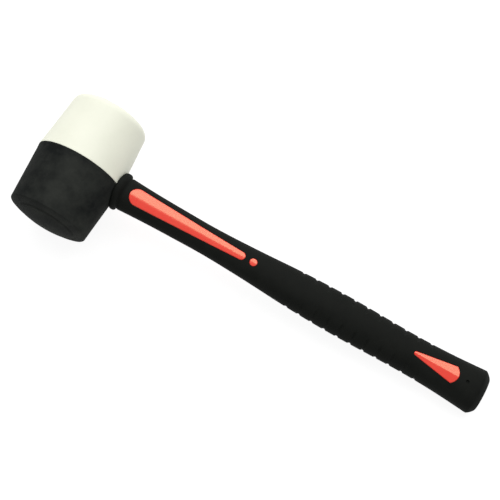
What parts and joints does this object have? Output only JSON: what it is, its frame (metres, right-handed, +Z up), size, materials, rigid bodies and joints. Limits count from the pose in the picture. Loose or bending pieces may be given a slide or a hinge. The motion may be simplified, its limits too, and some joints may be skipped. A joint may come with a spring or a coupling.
{
  "type": "rubber mallet",
  "caption": "Rubber mallet with a round head, black on one side and white on the other, and a soft-skinned handle with raised red windows.",
  "frame": {"origin": "middle of the footprint, on the ground that the mallet lies on", "axes": "+X from the head towards the butt, +Y along the head's axis towards the white face, +Z up; the mallet lies on the side of its head and its butt, so the handle drops slightly towards +X"},
  "size_m": [0.3528, 0.0944, 0.065],
  "materials": {
    "black_rubber": "matte, slightly mottled",
    "white_rubber": "matte, off-white",
    "red_plastic": "semi-gloss moulded",
    "soft_skin": "matte soft-touch",
    "core_rod": "glass fibre in resin",
    "adhesive": "cured resin"
  },
  "bodies": {
    "root": {"head_black_half": "black_rubber", "head_white_half": "white_rubber", "handle_body": "red_plastic", "grip_overmould": "soft_skin", "handle_core_rod": "core_rod", "socket_adhesive": "adhesive"}
  },
  "joints": []
}
